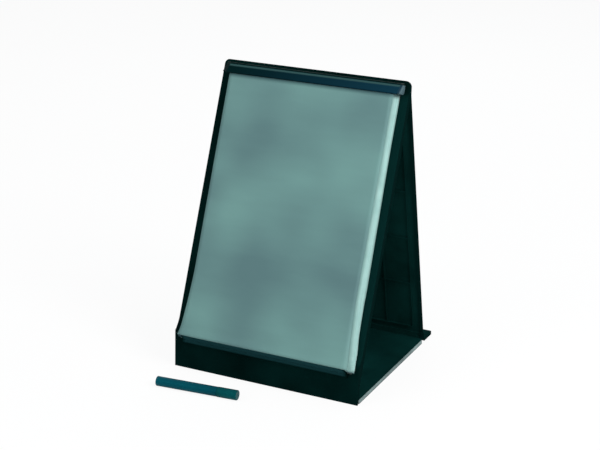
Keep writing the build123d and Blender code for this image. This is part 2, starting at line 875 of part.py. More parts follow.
# Screws that hold the leaves
with BuildPart() as base_hinge_screws:
    for station in hinge_stations:
        with Locations((station, base_pin_y + screw_row_depth)):
            with GridLocations(screw_spacing, 1, 2, 1):
                with Locations((0, 0, base_thickness + leaf_thickness - screw_length)):
                    Cylinder(
                        screw_radius,
                        screw_length,
                        align=(Align.CENTER, Align.CENTER, Align.MIN),
                    )
                with Locations((0, 0, base_thickness + leaf_thickness)):
                    Cone(
                        screw_head_radius,
                        screw_head_radius / 2,
                        screw_head_height,
                        align=(Align.CENTER, Align.CENTER, Align.MIN),
                    )
base_hinge_screws.part.label = "base_hinge_screws"
export_step(base_hinge_screws.part, "parts/base_hinge_screws.step")


# Felt marker, lying on the table in front of the fascia, its cap towards the right
marker_cos = cos(radians(marker_turn))
marker_sin = sin(radians(marker_turn))
marker_plane = Plane(
    origin=(-marker_left, fascia_y - marker_ahead, marker_cap_radius),
    x_dir=(marker_cos, marker_sin, 0),
    z_dir=(marker_sin, -marker_cos, 0),
)
cap_start = marker_length - marker_cap_length
nose_end = cap_start + marker_nose_length
nib_end = nose_end + nib_length
plug_neck = marker_barrel_radius - marker_wall


def turned(label, outline):
    """Solid of revolution about the marker's axis, from a half outline of (along, radius)."""
    with BuildPart() as piece:
        with BuildSketch(marker_plane):
            with BuildLine():
                Polyline(*outline, close=True)
            make_face()
        revolve(axis=Axis(marker_plane.origin, marker_plane.x_dir))
    piece.part.label = label
    export_step(piece.part, "parts/" + label + ".step")


edge = marker_wall / 2
turned("marker_barrel", [
    (plug_length / 2, marker_barrel_radius),
    (cap_start - axial_gap, marker_barrel_radius),
    (cap_start - axial_gap, plug_neck - cap_clearance / 2),
    (nose_end - edge, plug_neck - marker_wall - cap_clearance),
    (nose_end, plug_neck - marker_wall - edge),
    (nose_end, holder_radius),
    (cap_start + edge, holder_radius),
    (cap_start - edge, plug_neck - marker_wall),
    (cap_start - marker_nose_length, plug_neck),
    (plug_length / 2, plug_neck),
])
turned("marker_end_plug", [
    (0, 0),
    (0, marker_barrel_radius - 2 * edge),
    (edge, marker_barrel_radius),
    (plug_length / 2, marker_barrel_radius),
    (plug_length / 2, plug_neck),
    (plug_length, plug_neck - edge),
    (plug_length, 0),
])
turned("marker_ink_reservoir", [
    (plug_length, 0),
    (plug_length, reservoir_radius),
    (cap_start - marker_nose_length, reservoir_radius),
    (cap_start - marker_nose_length, 0),
])
turned("marker_nib_holder", [
    (cap_start + edge, nib_radius),
    (cap_start + edge, holder_radius),
    (nose_end + holder_length / 2, holder_radius),
    (nose_end + holder_length, nib_radius + edge),
    (nose_end + holder_length, nib_radius),
])
turned("marker_nib", [
    (cap_start - marker_nose_length, 0),
    (cap_start - marker_nose_length, nib_radius),
    (nib_end - nib_point, nib_radius),
    (nib_end - edge, nib_radius / 3),
    (nib_end, 0),
])
cap_bore = plug_neck + cap_clearance
turned("marker_cap", [
    (cap_start, cap_bore),
    (cap_start, marker_cap_radius - edge),
    (cap_start + edge, marker_cap_radius),
    (marker_length - edge, marker_cap_radius),
    (marker_length, marker_cap_radius - edge),
    (marker_length, 0),
    (marker_length - marker_wall, 0),
    (marker_length - marker_wall, cap_bore - marker_wall),
    (marker_length - 2 * marker_wall, cap_bore),
])
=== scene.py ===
from math import atan2, cos, hypot, radians, sin, sqrt

import bpy
from mathutils import Matrix, Vector, noise


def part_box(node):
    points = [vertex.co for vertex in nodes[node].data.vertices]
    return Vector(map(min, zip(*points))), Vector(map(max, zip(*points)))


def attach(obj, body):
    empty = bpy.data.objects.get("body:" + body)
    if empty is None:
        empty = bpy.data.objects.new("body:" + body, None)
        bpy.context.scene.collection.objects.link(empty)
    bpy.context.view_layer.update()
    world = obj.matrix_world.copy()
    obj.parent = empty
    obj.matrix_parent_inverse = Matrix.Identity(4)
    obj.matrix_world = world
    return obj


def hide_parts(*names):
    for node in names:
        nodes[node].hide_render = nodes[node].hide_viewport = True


# Tabletop flipchart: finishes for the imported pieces. The pad is modelled again as bundles of sheets
# behind a loose first sheet, and the clamp's end caps are modelled deeper. Metres, in the frame of
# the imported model.

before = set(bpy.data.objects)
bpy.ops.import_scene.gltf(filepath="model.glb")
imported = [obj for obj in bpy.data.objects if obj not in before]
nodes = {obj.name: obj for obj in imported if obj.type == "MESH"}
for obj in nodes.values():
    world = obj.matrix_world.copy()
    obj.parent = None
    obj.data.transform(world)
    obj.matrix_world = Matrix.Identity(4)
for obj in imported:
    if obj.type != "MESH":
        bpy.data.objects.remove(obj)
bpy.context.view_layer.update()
MM = 0.001

# Board, with the construction's sizes. Below SWEEP_START the pad's bed curves forward, and the
# paper follows it to a little past its end.
LEAN = radians(23.0)
BOARD_LENGTH = 517.0 * MM
FASCIA_AHEAD = 6.5 * MM
FOOT_AHEAD = 15.6 * MM
SWEEP_START = 77.0 * MM
SWEEP_RADIUS = 67.0 * MM
SWEEP_TURN = radians(20.0)
LAST_TURN = SWEEP_TURN * 1.02
fascia_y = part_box("base_core")[0].y - FASCIA_AHEAD
foot_y = fascia_y - FOOT_AHEAD

# Pad, from the board's face forward, and the loose sheet in front of it
CARD = 1.0 * MM
PAD_THICKNESS = 13.8 * MM
PAD_FRONT = CARD + PAD_THICKNESS
PAD_HEAD = BOARD_LENGTH - 25.0 * MM
PAPER_RUN = PAD_HEAD - SWEEP_START + SWEEP_RADIUS * SWEEP_TURN
SHEET_GAP = 0.3 * MM
SHEET_THICKNESS = 0.4 * MM

# Half widths of the paper, which widens towards its foot below FLARE_START
HALF_TOP = 144.8 * MM
HALF_LOW = 144.4 * MM
FLARE_START = 166.0 * MM
FLARE_RATE = 0.0294
FLARE_BEND = 0.000314 / MM
FOOT_DRIFT = 0.2

# Spread of the backmost sheets beyond the first, by the place along the board
SPREAD = (
    (60.0 * MM, 8.4 * MM),
    (111.0 * MM, 7.0 * MM),
    (180.0 * MM, 9.0 * MM),
    (400.0 * MM, 6.3 * MM),
)
HIDDEN_STEP = 0.46
FAN_LENGTH = 75.0 * MM
FAN_GAIN = 0.83

# Behind the first sheet the paper runs on under the sloping clamp, and stays between its caps
HEAD_LENGTH = 9.0 * MM
HEAD_SLOPE = 9.2 / 13.4
HEAD_HALF = 150.5 * MM

# Cheeks beside the pad's foot, whose front curves: sheets behind it stay between them
CHEEK_START = 91.3 * MM
CHEEK_RADIUS = 60.0 * MM
CHEEK_DROP = 27.05 * MM
CHEEK_GAP = 1.0 * MM
BED_HALF = 153.6 * MM
NO_LIMIT = 1.0

# Loose sheet: its grid, its waves, and how it lifts at the lower corners
SHEET_ROWS = 72
SHEET_COLUMNS = 48
WAVE = 0.12 * MM
WAVE_PITCH = (9.0, 7.0)
WAVE_DRAW = 3.1
WAVE_RISE = 40.0 * MM
CORNER_LIFT = 0.5 * MM
CORNER_START = 0.8

# Bundles of sheets: their grid, and how far they stray from each other
BUNDLES = 23
BUNDLE_STEP = PAD_THICKNESS / BUNDLES
BUNDLE_GAP = 0.05 * MM
BUNDLE_ROWS = 60
BUNDLE_COLUMNS = 6
SIDE_STRAY = 0.4 * MM
FOOT_STRAY = 0.5 * MM
SIDE_DRAW = (1.7, 0.3, 0.9)
FOOT_DRAW = 2.7

# Clamp's end caps: side outline on the board, and reach to where the photograph shows the end
TIP = (BOARD_LENGTH - 23.0 * MM, PAD_FRONT + 2.4 * MM)
TOP = (BOARD_LENGTH - 9.6 * MM, PAD_FRONT - 6.8 * MM)
PIVOT = (BOARD_LENGTH - 8.5 * MM, 4.0 * MM)
NOSE = 3.5 * MM
NOSE_STEPS = 6
UNDERSIDE = PIVOT[1] - 3.4 * MM
CAP_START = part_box("clamp_bar")[1].x
CAP_END = CAP_START + 6.0 * MM
CAP_ROUND = 0.5 * MM


def board_point(x, along, out):
    """A point in front of the board, in the shared frame."""
    y = foot_y + along * sin(LEAN) - out * cos(LEAN)
    return Vector((x, y, along * cos(LEAN) + out * sin(LEAN)))


def paper_place(run, out):
    """Place of a layer by the distance run down from the pad's head and round its foot."""
    straight = PAD_HEAD - SWEEP_START
    if run <= straight:
        return PAD_HEAD - run, out
    reach = SWEEP_RADIUS - out
    angle = min((run - straight) / SWEEP_RADIUS, LAST_TURN)
    return SWEEP_START - reach * sin(angle), SWEEP_RADIUS - reach * cos(angle)


def paper_point(x, run, out):
    """A point of a layer in the shared frame."""
    return board_point(x, *paper_place(run, out))


def flare(along):
    """How much the paper widens on each side towards its foot."""
    down = max(0.0, FLARE_START - along)
    return FLARE_RATE * down + FLARE_BEND * down * down


def half_width(along):
    """Half the paper's width at a place along the board."""
    share = max(0.0, along - FLARE_START) / (BOARD_LENGTH - FLARE_START)
    return HALF_LOW + (HALF_TOP - HALF_LOW) * share + flare(along)


def full_spread(along):
    """How far the backmost sheets stand out beside the first."""
    if along <= SPREAD[0][0]:
        return SPREAD[0][1]
    for (low, at_low), (high, at_high) in zip(SPREAD, SPREAD[1:]):
        if along <= high:
            return at_low + (at_high - at_low) * (along - low) / (high - low)
    return SPREAD[-1][1]


def fanned(behind, along):
    """Share of the full spread for a sheet; at the foot the front ones spread earlier."""
    foot = min(1.0, max(0.0, FLARE_START - along) / FAN_LENGTH)
    return min(1.0, behind * (1 + FAN_GAIN * foot))


def side_limit(along, out):
    """Widest half width at a place: between the end caps at the head, between the cheeks at the foot."""
    if along > PAD_HEAD - HEAD_LENGTH:
        return HEAD_HALF
    if along >= CHEEK_START:
        return NO_LIMIT
    down = min(CHEEK_START - along, CHEEK_DROP)
    front = CHEEK_RADIUS - sqrt(CHEEK_RADIUS ** 2 - down ** 2)
    return NO_LIMIT if out > front + CHEEK_GAP else BED_HALF


class Graph:
    """A material's nodes, with short calls for the ones that the finishes use."""

    # Places of the sockets on the node that mixes colours
    FACTOR, FIRST, SECOND, RESULT = 0, 6, 7, 2

    def __init__(self, material):
        self.tree = material.node_tree
        self.shader = self.tree.nodes["Principled BSDF"]
        self.coords = self.add("ShaderNodeTexCoord").outputs

    def add(self, kind, **settings):
        """A new node with its settings."""
        node = self.tree.nodes.new(kind)
        for key, value in settings.items():
            setattr(node, key, value)
        return node

    def feed(self, socket, value):
        """Joins a socket to an output, or gives it a value."""
        if isinstance(value, bpy.types.NodeSocket):
            self.tree.links.new(value, socket)
        else:
            socket.default_value = value

    def math(self, operation, *values):
        """Result of a calculation on numbers and outputs."""
        node = self.add("ShaderNodeMath", operation=operation)
        for socket, value in zip(node.inputs, values):
            self.feed(socket, value)
        return node.outputs["Value"]

    def span(self, source, start, end, low=0.0, high=1.0):
        """Maps a value from one range to another."""
        node = self.add("ShaderNodeMapRange")
        node.inputs["From Min"].default_value = start
        node.inputs["From Max"].default_value = end
        node.inputs["To Min"].default_value = low
        node.inputs["To Max"].default_value = high
        self.feed(node.inputs["Value"], source)
        return node.outputs["Result"]

    def blend(self, factor, first, second):
        """Mixes two colours, each a tuple or an output."""
        node = self.add("ShaderNodeMix", data_type="RGBA")
        self.feed(node.inputs[self.FACTOR], factor)
        for place, colour in ((self.FIRST, first), (self.SECOND, second)):
            self.feed(node.inputs[place], (*colour, 1) if isinstance(colour, tuple) else colour)
        return node.outputs[self.RESULT]

    def grain(self, scale, detail, stretch=(1, 1, 1), vector=None):
        """Noise over the object's own coordinates or a given vector, stretched along chosen axes."""
        mapping = self.add("ShaderNodeMapping")
        mapping.inputs["Scale"].default_value = stretch
        self.feed(mapping.inputs["Vector"], self.coords["Object"] if vector is None else vector)
        texture = self.add("ShaderNodeTexNoise")
        texture.inputs["Scale"].default_value = scale
        texture.inputs["Detail"].default_value = detail
        self.feed(texture.inputs["Vector"], mapping.outputs["Vector"])
        return texture.outputs["Fac"]

    def rubbed_edges(self, radius):
        """1 near the piece's sharp edges and 0 on its flats, with the normal softened over them."""
        softened = self.add("ShaderNodeBevel", samples=6)
        softened.inputs["Radius"].default_value = radius
        geometry = self.add("ShaderNodeNewGeometry")
        dot = self.add("ShaderNodeVectorMath", operation="DOT_PRODUCT")
        self.feed(dot.inputs[0], softened.outputs["Normal"])
        self.feed(dot.inputs[1], geometry.outputs["Normal"])
        return self.span(dot.outputs["Value"], 0.985, 0.75), softened.outputs["Normal"]

    def emboss(self, height, strength, depth, normal=None):
        """Fine relief on the shader, over a softened normal where there is one."""
        bump = self.add("ShaderNodeBump")
        bump.inputs["Strength"].default_value = strength
        bump.inputs["Distance"].default_value = depth
        self.feed(bump.inputs["Height"], height)
        if normal is not None:
            self.feed(bump.inputs["Normal"], normal)
        self.feed(self.shader.inputs["Normal"], bump.outputs["Normal"])

    def leaning(self, y, z, y_share, z_share):
        """A place along the board or in front of it, from the depth and the height."""
        behind = self.math("MULTIPLY", self.math("SUBTRACT", y, foot_y), y_share)
        return self.math("MULTIPLY_ADD", z, z_share, behind)

    def measure(self, name):
        """A measure of the shaded point: its place on the board or in the frame, or its facing."""
        source = "Normal" if name.startswith("facing") else "Object"
        split = self.add("ShaderNodeSeparateXYZ")
        self.feed(split.inputs[0], self.coords[source])
        x, y, z = (split.outputs[axis] for axis in "XYZ")
        if name == "along":
            return self.leaning(y, z, sin(LEAN), cos(LEAN))
        if name == "out":
            return self.leaning(y, z, -cos(LEAN), sin(LEAN))
        if name == "aside":
            return self.math("ABSOLUTE", x)
        return {"across": x, "facing_right": x, "depth": y, "facing_back": y, "height": z}[name]


def new_material(name):
    """A material with its graph."""
    material = bpy.data.materials.new(name)
    material.use_nodes = True
    return material, Graph(material)


def tint(material, colour, *ramps, amount=1.0):
    """Lays a colour over a finished material where every ramp has risen; a ramp runs over a measure."""
    graph = Graph(material)
    mask = amount
    for name, start, end in ramps:
        mask = graph.math("MULTIPLY", mask, graph.span(graph.measure(name), start, end))
    base = graph.shader.inputs["Base Color"]
    graph.feed(base, graph.blend(mask, base.links[0].from_socket, colour))


CLOUD = 0.35


def moulded(name, colour, worn, roughness, specular, grain=900.0, bump=0.08,
            edge=0.8 * MM, metallic=0.0, sheen=(1.0, 1.0, 1.0)):
    """Moulded or coated surface: fine grain, clouded colour, uneven gloss, rubbed edges."""
    material, graph = new_material(name)
    inputs = graph.shader.inputs
    fine = graph.grain(scale=grain, detail=3)
    broad = graph.grain(scale=14.0, detail=4)
    scuffs = graph.grain(scale=90.0, detail=6, stretch=(1.0, 0.25, 0.25))
    rubbed, softened = graph.rubbed_edges(edge)
    patchy = graph.span(scuffs, 0.42, 0.72, low=0.15)
    deep = tuple(channel * (1 - CLOUD) for channel in colour)
    pale = tuple(channel * (1 + CLOUD) for channel in colour)
    body = graph.blend(graph.span(broad, 0.3, 0.7), deep, pale)
    wear = graph.math("MULTIPLY", rubbed, patchy)
    graph.feed(inputs["Base Color"], graph.blend(wear, body, worn))
    gloss = graph.span(scuffs, 0.3, 0.75, low=roughness * 0.82, high=roughness * 1.2)
    graph.feed(inputs["Roughness"], gloss)
    graph.emboss(fine, strength=bump, depth=0.15 * MM, normal=softened)
    inputs["Specular IOR Level"].default_value = specular
    inputs["Metallic"].default_value = metallic
    inputs["Specular Tint"].default_value = (*sheen, 1)
    return material


def paper(name, dark, light):
    """Uncoated paper with soft clouds and a fibre tooth."""
    material, graph = new_material(name)
    inputs = graph.shader.inputs
    clouds = graph.grain(scale=7.5, detail=1, stretch=(0.95, 1.0, 1.0))
    blotches = graph.grain(scale=30.0, detail=4, stretch=(0.4, 1.0, 1.8))
    tooth = graph.grain(scale=1400.0, detail=4, stretch=(1.0, 0.4, 0.4))
    mottled = graph.math("MULTIPLY_ADD", blotches, 0.12, clouds)
    graph.feed(inputs["Base Color"], graph.blend(graph.span(mottled, 0.38, 0.74), dark, light))
    graph.feed(inputs["Roughness"], graph.span(tooth, 0.3, 0.7, low=0.675, high=0.81))
    graph.emboss(tooth, strength=0.12, depth=0.1 * MM)
    inputs["Specular IOR Level"].default_value = 0.2
    return material


def stacked_edges(name, dark, light, shade):
    """Cut edges of a stack of sheets: fine lines, shaded at the stack's front and back."""
    material, graph = new_material(name)
    inputs = graph.shader.inputs
    turned = graph.add("ShaderNodeMapping")
    turned.inputs["Rotation"].default_value = (LEAN, 0, 0)
    graph.feed(turned.inputs["Vector"], graph.coords["Object"])
    thin = (8.0, 3200.0, 8.0)
    layers = graph.grain(scale=1.0, detail=4, stretch=thin, vector=turned.outputs["Vector"])
    clouds = graph.grain(scale=60.0, detail=2, stretch=(0.3, 1.0, 1.0))
    lined = graph.math("MULTIPLY_ADD", clouds, 0.35, layers)
    body = graph.blend(graph.span(lined, 0.5, 0.85), dark, light)
    out = graph.measure("out")
    front = graph.span(out, PAD_FRONT * 0.62, PAD_FRONT, high=0.75)
    back = graph.span(out, PAD_FRONT * 0.28, CARD, high=0.80)
    toned = graph.blend(back, graph.blend(front, body, shade), shade)
    graph.feed(inputs["Base Color"], toned)
    graph.emboss(layers, strength=0.25, depth=0.15 * MM)
    inputs["Roughness"].default_value = 0.8
    inputs["Specular IOR Level"].default_value = 0.15
    return material


# Finishes
TEAL = (0.05, 0.75, 0.70)
SHELL = (0.0009, 0.0096, 0.0087)
SHELL_WORN = (0.0012, 0.0125, 0.0115)
# Painted light: the rear panel's inside and the deck are lighter than the shell, in the shaded space
# under the easel
REAR_WITH_PAINTED_LIGHT = (0.0034, 0.0300, 0.0268)
DECK_WITH_PAINTED_LIGHT = (0.0022, 0.0230, 0.0210)
CLAMP = (0.0002, 0.0080, 0.0082)
# Painted reflection: the blue that the clamp turns towards its right end
CLAMP_PAINTED_REFLECTION = (0.0040, 0.0290, 0.0480)
BARREL = (0.0012, 0.056, 0.078)
CAP = (0.0012, 0.058, 0.064)
PAPER_SHADE = (0.0120, 0.0450, 0.0550)
EDGE_DARK = (0.33, 0.53, 0.505)

shell = moulded("shell_plastic", SHELL, SHELL_WORN,
                roughness=0.60, specular=0.001, edge=0.25 * MM, sheen=TEAL)
rear = moulded("rear_plastic", REAR_WITH_PAINTED_LIGHT, SHELL_WORN,
               roughness=0.60, specular=0.001, edge=0.4 * MM, sheen=TEAL)
clamp_face = moulded("clamp_plastic", CLAMP, (0.01, 0.035, 0.038),
                     roughness=0.36, specular=0.02, bump=0.04, sheen=TEAL)
# The end caps' pale colour is painted light, for the lit right end face
clamp_end = moulded("clamp_end_plastic", (0.078, 0.132, 0.150), (0.09, 0.15, 0.165),
                    roughness=0.42, specular=0.1)
rubber = moulded("rubber", (0.010, 0.016, 0.016), (0.03, 0.04, 0.04),
                 roughness=0.75, specular=0.15, grain=500.0, bump=0.2)
steel = moulded("pin_steel", (0.42, 0.44, 0.45), (0.6, 0.62, 0.63),
                roughness=0.30, specular=0.5, metallic=1.0, edge=0.2 * MM)
leaf = moulded("leaf_coating", (0.012, 0.020, 0.020), (0.25, 0.26, 0.26),
               roughness=0.42, specular=0.4, edge=0.3 * MM)
core = moulded("base_core_board", (0.165, 0.225, 0.220), (0.22, 0.28, 0.28),
               roughness=0.70, specular=0.2, grain=500.0, bump=0.25)
# The deck's lighter colour is painted light, on the floor of the shaded space under the easel
deck = moulded("base_deck_laminate", DECK_WITH_PAINTED_LIGHT, SHELL_WORN,
               roughness=0.55, specular=0.01, grain=600.0, bump=0.12, sheen=TEAL)
mat = moulded("base_mat_foam", (0.008, 0.013, 0.013), (0.02, 0.03, 0.03),
              roughness=0.85, specular=0.1, grain=700.0, bump=0.3)
card = paper("grey_card", (0.13, 0.145, 0.13), (0.19, 0.20, 0.18))
tape = moulded("binding_tape", (0.010, 0.026, 0.028), (0.04, 0.06, 0.06),
               roughness=0.70, specular=0.15, grain=1500.0, bump=0.4)
# The first sheet's dark colour is painted shade on paper that faces away from the light; the pad edges'
# pale colours are painted light on the side lit from the right
sheet_paper = paper("sheet_paper", (0.090, 0.173, 0.178), (0.142, 0.280, 0.262))
edges = stacked_edges("pad_edges", EDGE_DARK, (0.49, 0.70, 0.66), (0.16, 0.29, 0.27))
marker_body = moulded("marker_plastic", BARREL, (0.01, 0.12, 0.14),
                      roughness=0.38, specular=0.12, grain=700.0, bump=0.04, sheen=TEAL)
marker_cap = moulded("marker_cap_plastic", CAP, (0.01, 0.14, 0.14),
                     roughness=0.38, specular=0.12, grain=700.0, bump=0.04, sheen=TEAL)
nib_felt = moulded("nib_felt", (0.004, 0.05, 0.06), (0.01, 0.08, 0.09),
                   roughness=0.9, specular=0.1, grain=1800.0, bump=0.5)
fibre = moulded("reservoir_fibre", (0.55, 0.56, 0.54), (0.6, 0.6, 0.6),
                roughness=0.9, specular=0.1, grain=1500.0, bump=0.5)
holder = moulded("nib_holder_plastic", (0.45, 0.48, 0.47), (0.5, 0.52, 0.52),
                 roughness=0.4, specular=0.4, bump=0.05)

# Places of the tints, and how far a face has to turn for them
LIP_HALF = 147.0 * MM
LIP_TOP = 66.0 * MM
LIP_ROOT = 45.5 * MM
SOFT = 6.0 * MM
HEAD_SHADE = 6.5 * MM
FOOT_SHADE = 61.0 * MM
RIM_START = 138.0 * MM
MARGIN_FULL = 100.0 * MM
REAR_RIM = (150.0 * MM, 156.0 * MM)
CLAMP_HALF = 150.0 * MM
CREST = BOARD_LENGTH - 10.6 * MM
CREST_SOFT = 1.9 * MM
SIDEWAYS = (0.4, 0.8)
BACKWARDS = (0.3, 0.7)

# Painted light on the board's margin right of the pad, between the fascia and the clamp, growing towards
# the right; painted shade on its right sides
tint(shell, (0.0019, 0.0170, 0.0157), ("across", 0.0, MARGIN_FULL),
     ("along", LIP_TOP, LIP_TOP + SOFT), ("along", PAD_HEAD + SOFT, PAD_HEAD))
tint(shell, (0.0008, 0.0085, 0.0078), ("facing_right", *SIDEWAYS))

# Painted highlight on the lip and its ledge, on which the sheets stand
tint(shell, (0.0080, 0.0370, 0.0410), ("depth", fascia_y - 0.6 * MM, fascia_y - 2.4 * MM),
     ("height", LIP_TOP, LIP_TOP - 0.5 * MM), ("height", LIP_ROOT, LIP_ROOT + SOFT),
     ("aside", LIP_HALF, LIP_HALF - SOFT))

# The clamp: a painted reflection that turns it bluer to the right, a soft painted highlight below the
# crest, painted shade on its round back
above_crest = ("along", CREST + CREST_SOFT * 0.9, CREST + CREST_SOFT * 1.5)
tint(clamp_face, CLAMP_PAINTED_REFLECTION, ("across", -CLAMP_HALF, CLAMP_HALF))
tint(clamp_face, (0.0300, 0.0760, 0.0760), ("along", CREST - CREST_SOFT, CREST),
     ("along", CREST + CREST_SOFT * 1.5, CREST + CREST_SOFT * 0.8))
tint(clamp_face, SHELL, above_crest)

# Its end caps: the painted reflection's blue up to the right end face, whose pale colour is painted
# light; painted shade at the left end and on the round back
tint(clamp_end, CLAMP_PAINTED_REFLECTION, ("across", CAP_END - 1.6 * MM, CAP_END - 3.0 * MM))
tint(clamp_end, CLAMP, ("across", 1.0 * MM, -1.0 * MM))
tint(clamp_end, SHELL, above_crest)

# The rear panel: its light colour is painted light in the shaded space under the easel; its back keeps a
# plain dark colour, and its rim seen past the board and its right sides are darker, with less painted
# light
tint(rear, (0.0011, 0.0110, 0.0098), ("facing_back", *BACKWARDS))
tint(rear, (0.0018, 0.0165, 0.0148), ("across", *REAR_RIM))
tint(rear, (0.0015, 0.0132, 0.0118), ("facing_right", *SIDEWAYS))

# The paper: painted light on the first sheet's right rim, painted shade under the clamp, at the foot and
# at the left of the foot
under_clamp = ("along", PAD_HEAD - HEAD_SHADE, PAD_HEAD)
tint(sheet_paper, EDGE_DARK, ("across", RIM_START, HALF_TOP), amount=0.13)
tint(sheet_paper, PAPER_SHADE, under_clamp, amount=0.75)
tint(edges, PAPER_SHADE, under_clamp, amount=0.75)
tint(edges, PAPER_SHADE, ("height", FOOT_SHADE, FOOT_SHADE - SOFT), amount=0.95)
tint(edges, PAPER_SHADE, ("across", -LIP_HALF + SOFT * 2, -LIP_HALF + SOFT),
     ("along", LIP_TOP + SOFT * 2, LIP_TOP + SOFT))

finishes = {
    "front_shell": shell,
    "rear_shell": rear,
    "clamp_bar": clamp_face,
    "clamp_end_caps": clamp_end,
    "clamp_grip_strip": rubber,
    "rear_foot_strips": rubber,
    "apex_hinge_pins": steel,
    "base_hinge_pins": steel,
    "clamp_pivot_rod": steel,
    "clamp_springs": steel,
    "base_hinge_screws": steel,
    "base_hinge_leaves": leaf,
    "base_core": core,
    "base_deck": deck,
    "base_mat": mat,
    "pad_backing_card": card,
    "pad_block": edges,
    "pad_head_binding": tape,
    "top_sheet": sheet_paper,
    "marker_barrel": marker_body,
    "marker_end_plug": marker_body,
    "marker_cap": marker_cap,
    "marker_nib": nib_felt,
    "marker_ink_reservoir": fibre,
    "marker_nib_holder": holder,
}
for node, material in finishes.items():
    nodes[node].data.materials.clear()
    nodes[node].data.materials.append(material)


def mesh_object(name, vertices, faces, material, smooth):
    """A mesh piece from its points and faces."""
    mesh = bpy.data.meshes.new(name)
    mesh.from_pydata(vertices, [], faces)
    mesh.materials.append(material)
    piece = bpy.data.objects.new(name, mesh)
    bpy.context.scene.collection.objects.link(piece)
    for polygon in mesh.polygons:
        polygon.use_smooth = smooth
    mesh.update()
    return piece


def joined(parts):
    """Points and faces of several closed shapes as one mesh."""
    points = []
    faces = []
    for more_points, more_faces in parts:
        faces += [tuple(index + len(points) for index in face) for face in more_faces]
        points += more_points
    return points, faces


def slab(rows, columns, front_point, back_point):
    """Points and faces of a closed slab from its front and back grids."""
    points = [front_point(i, j) for i in range(rows) for j in range(columns)]
    points += [back_point(i, j) for i in range(rows) for j in range(columns)]
    behind = rows * columns
    faces = []
    for i in range(rows - 1):
        for j in range(columns - 1):
            a = i * columns + j
            b = a + columns
            faces.append((a, b, b + 1, a + 1))
            faces.append((behind + a, behind + a + 1, behind + b + 1, behind + b))
    for j in range(columns - 1):
        last = (rows - 1) * columns + j
        faces.append((j, j + 1, behind + j + 1, behind + j))
        faces.append((last + 1, last, behind + last, behind + last + 1))
    for i in range(rows - 1):
        left = i * columns
        right = left + columns - 1
        faces.append((left + columns, left, behind + left, behind + left + columns))
        faces.append((right, right + columns, behind + right + columns, behind + right))
    return points, faces


# Top sheet: loose paper that waves a little and lifts at its lower corners
def sheet_lift(x, run):
    """How far the loose sheet stands off the stack."""
    draw = Vector((x * WAVE_PITCH[0], run * WAVE_PITCH[1], WAVE_DRAW))
    wave = noise.noise(draw) * WAVE * min(1.0, run / WAVE_RISE)
    down = max(0.0, run / PAPER_RUN - CORNER_START) / (1 - CORNER_START)
    return wave + abs(x / HALF_TOP) ** 3 * down ** 2 * CORNER_LIFT


def sheet_face(out):
    """Points of one face of the sheet, by row and column."""
    def place(i, j):
        run = PAPER_RUN * i / (SHEET_ROWS - 1)
        side = 2 * j / (SHEET_COLUMNS - 1) - 1
        along = PAD_HEAD - run
        x = side * half_width(along) - FOOT_DRIFT * flare(along)
        return paper_point(x, run, out + sheet_lift(x, run))
    return place


sheet_back = PAD_FRONT + SHEET_GAP
sheet_front = sheet_back + SHEET_THICKNESS
points, faces = slab(SHEET_ROWS, SHEET_COLUMNS, sheet_face(sheet_front), sheet_face(sheet_back))
loose_sheet = mesh_object("loose_top_sheet", points, faces, sheet_paper, smooth=True)
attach(loose_sheet, "sheet")
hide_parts("top_sheet")


# Pad: bundles of sheets, each a little out of line with the next
def head_reach(out):
    """How far a layer runs on above the pad's head."""
    ahead_of_slope = max(0.0, out - (PAD_FRONT - HEAD_LENGTH * HEAD_SLOPE))
    return max(0.0, HEAD_LENGTH - ahead_of_slope / HEAD_SLOPE)


def bundle_face(out, behind, stray, foot):
    """Points of one face of a bundle; behind is 1 at the card and 0 at the front."""
    start = -head_reach(out)
    end = PAPER_RUN + foot

    def place(i, j):
        run = start + (end - start) * i / (BUNDLE_ROWS - 1)
        along = PAD_HEAD - run
        limit = side_limit(*paper_place(run, out))
        half = half_width(along)
        spread = full_spread(along) * fanned(behind, along)
        right = min(half + spread + stray, limit)
        left = min(half + min(spread, HIDDEN_STEP * (PAD_FRONT - out)) + stray, limit)
        share = j / (BUNDLE_COLUMNS - 1)
        return paper_point(-left + (left + right) * share, run, out)
    return place


def bundle(number):
    """Points and faces of one bundle, counted from the card forward."""
    low = CARD + number * BUNDLE_STEP
    high = low + BUNDLE_STEP - BUNDLE_GAP
    draw = Vector((number * SIDE_DRAW[0], *SIDE_DRAW[1:]))
    behind = 1 - number / (BUNDLES - 1)
    stray = noise.noise(draw) * SIDE_STRAY
    foot = -abs(noise.noise(draw * FOOT_DRAW)) * FOOT_STRAY
    front_face = bundle_face(high, behind, stray, foot)
    back_face = bundle_face(low, behind, stray, foot)
    return slab(BUNDLE_ROWS, BUNDLE_COLUMNS, front_face, back_face)


points, faces = joined(bundle(number) for number in range(BUNDLES))
paper_stack = mesh_object("paper_stack", points, faces, edges, smooth=False)
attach(paper_stack, "front_board")
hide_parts("pad_block")


# Clamp's end caps
def cap_outline():
    """Side outline of a cap on the board: tip, crest, round nose, underside."""
    outline = [TIP]
    top = (TOP[0] - PIVOT[0], TOP[1] - PIVOT[1])
    from_top = atan2(top[1], top[0])
    reach = hypot(*top)
    for step in range(NOSE_STEPS + 1):
        share = step / NOSE_STEPS
        angle = from_top * (1 - share)
        radius = reach + (NOSE - reach) * share
        outline.append((PIVOT[0] + radius * cos(angle), PIVOT[1] + radius * sin(angle)))
    outline.append((PIVOT[0], UNDERSIDE))
    outline.append((TIP[0] + NOSE, UNDERSIDE))
    outline.append((TIP[0], PIVOT[1]))
    return outline


